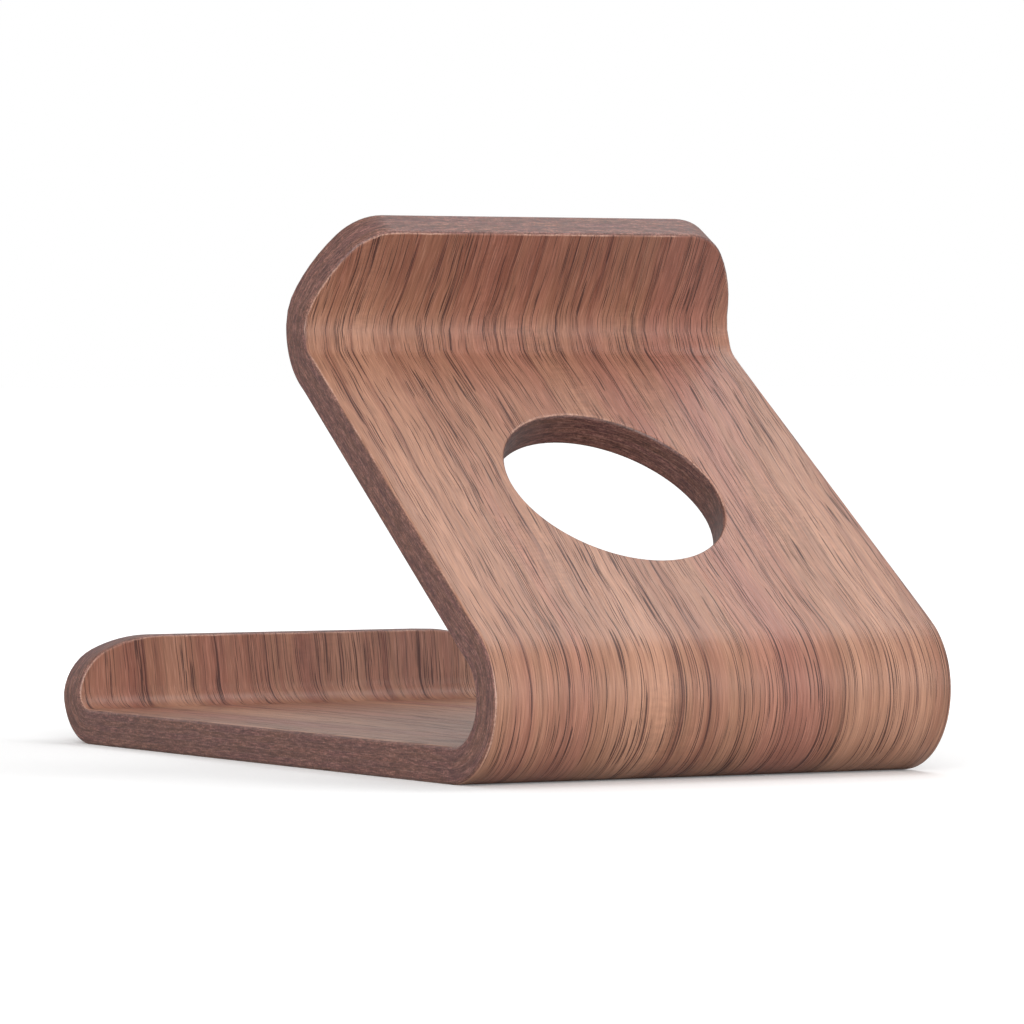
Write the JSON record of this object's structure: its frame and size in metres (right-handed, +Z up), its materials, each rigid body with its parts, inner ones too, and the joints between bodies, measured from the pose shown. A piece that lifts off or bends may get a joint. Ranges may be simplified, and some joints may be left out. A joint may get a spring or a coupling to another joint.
{
  "type": "phone stand",
  "caption": "Moulded plywood phone stand: a low front lip, a flat base, a rear bend, a forward-leaning panel with a round cable hole, and a curled-back top.",
  "frame": {"origin": "on the floor, in the middle of the footprint", "axes": "+Z up, +Y from the front lip towards the rear bend, +X across the strip"},
  "size_m": [0.086, 0.1454, 0.0901],
  "materials": {
    "walnut_veneer": "satin clear lacquer over walnut veneer",
    "stained_core": "cut ply edge, stained dark brown, satin"
  },
  "bodies": {
    "root": {"back_veneer": "walnut_veneer", "core_ply_1": "stained_core", "core_ply_2": "stained_core", "core_ply_3": "stained_core", "core_ply_4": "stained_core", "core_ply_5": "stained_core", "front_veneer": "walnut_veneer"}
  },
  "joints": []
}
